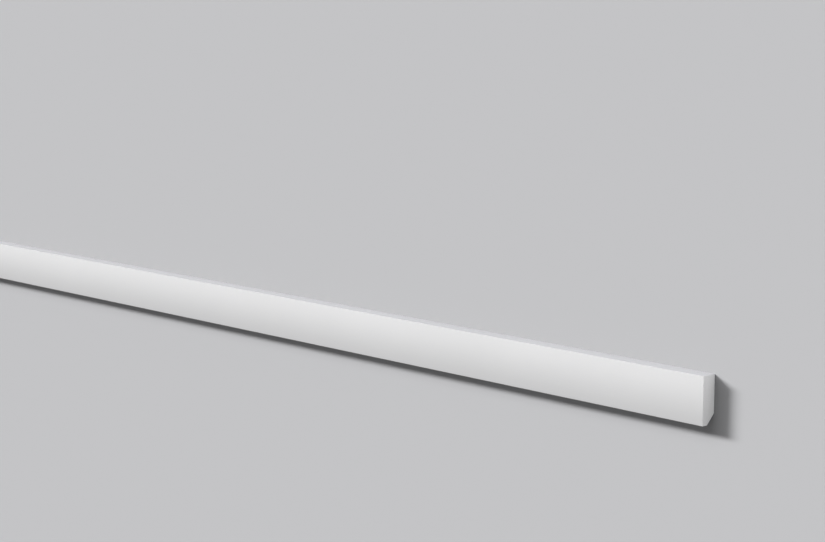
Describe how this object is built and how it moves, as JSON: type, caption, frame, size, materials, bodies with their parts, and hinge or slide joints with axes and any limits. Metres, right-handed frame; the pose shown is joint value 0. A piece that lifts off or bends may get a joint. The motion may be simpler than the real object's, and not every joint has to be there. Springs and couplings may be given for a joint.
{
  "type": "decorative moulding",
  "caption": "Plain square-edged moulding in white foam, used as a slim skirting trim, with a flat face and a 45 degree cable chamfer along its back lower edge.",
  "frame": {"origin": "middle of the length and of the height, on the plane of the back, which is what the moulding lies on", "axes": "+X runs along the length, +Y towards the edge that is on top when the moulding is on a wall, +Z straight out of the front face"},
  "size_m": [2, 0.04, 0.014],
  "materials": {
    "white_foam": "smooth matt white skin on rigid high-density polystyrene foam, with a closed fine-grained foam on the sawn ends"
  },
  "bodies": {
    "root": {"moulding": "white_foam"}
  },
  "joints": []
}
